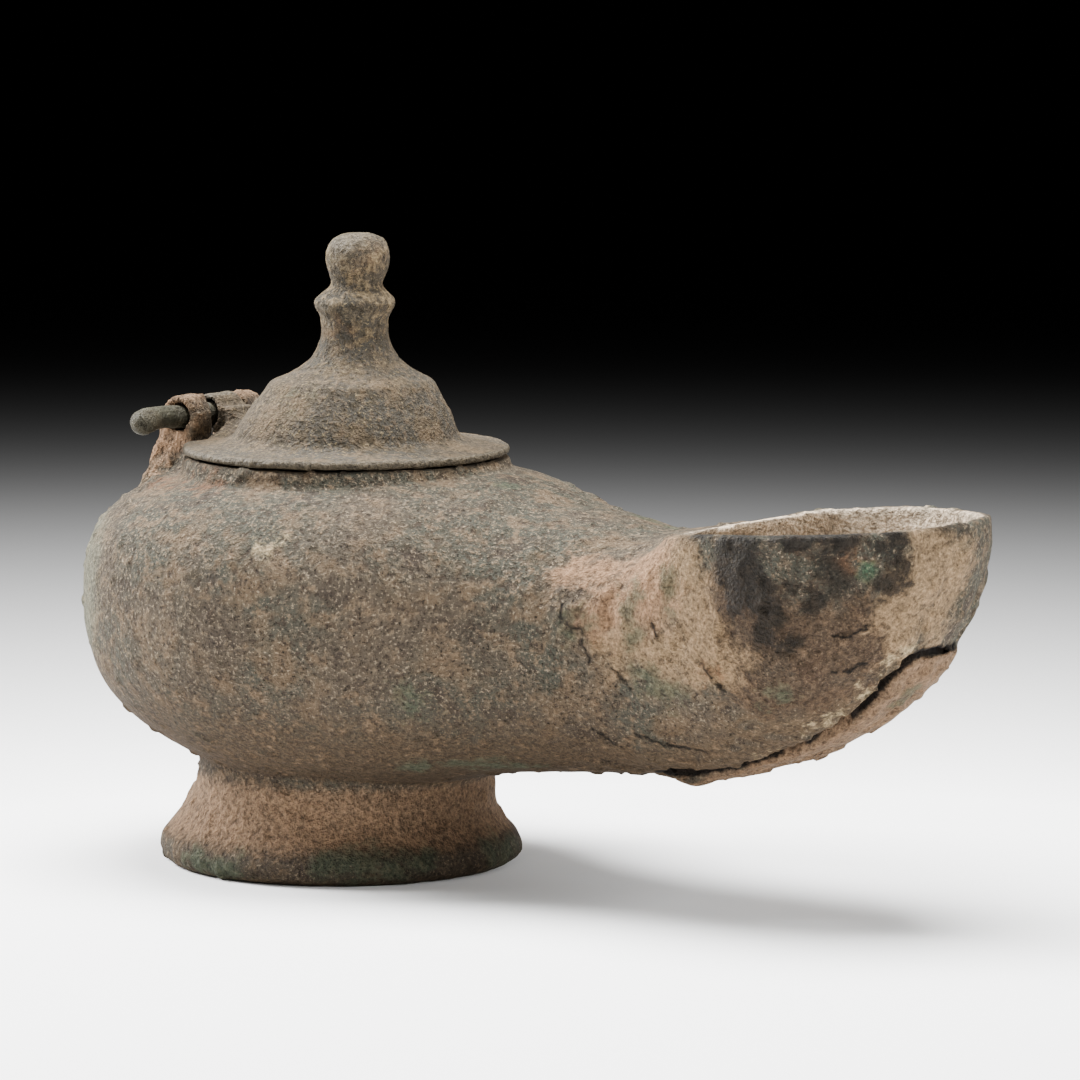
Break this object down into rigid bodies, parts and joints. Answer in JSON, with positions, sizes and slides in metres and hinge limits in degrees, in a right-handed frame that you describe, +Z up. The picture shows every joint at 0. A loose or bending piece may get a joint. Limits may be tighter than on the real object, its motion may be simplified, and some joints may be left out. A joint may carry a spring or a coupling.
{
  "type": "roman oil lamp",
  "caption": "Cast bronze oil lamp with a round hollow bowl on a flared foot, an open pointed nozzle and a domed lid with a knob, hinged at the back.",
  "frame": {"origin": "under the middle of the bounding box, on the surface that the foot stands on", "axes": "+Z up, +X along the lamp to the tip of the nozzle, +Y across, away from the side on which the hinge pin sticks out"},
  "size_m": [0.1552, 0.0824, 0.0985],
  "materials": {
    "body_bronze": "old cast bronze under a matt, granular, earthy tan crust with green spots and a dark bare patch at the mouth",
    "lid_bronze": "old cast bronze under a thin matt grey-brown crust with fine dark specks",
    "pin_bronze": "old bronze bar, dark grey-green, rough"
  },
  "bodies": {
    "lamp": {"lamp_body": "body_bronze", "hinge_pin": "pin_bronze"},
    "lid": {"lid": "lid_bronze"}
  },
  "joints": [
    {"name": "lid_hinge", "type": "hinge", "parent": "lamp", "child": "lid", "pos_m": [-0.06255, 0, 0.0688], "axis": [0, -1, 0], "range_deg": [0, 190]}
  ]
}
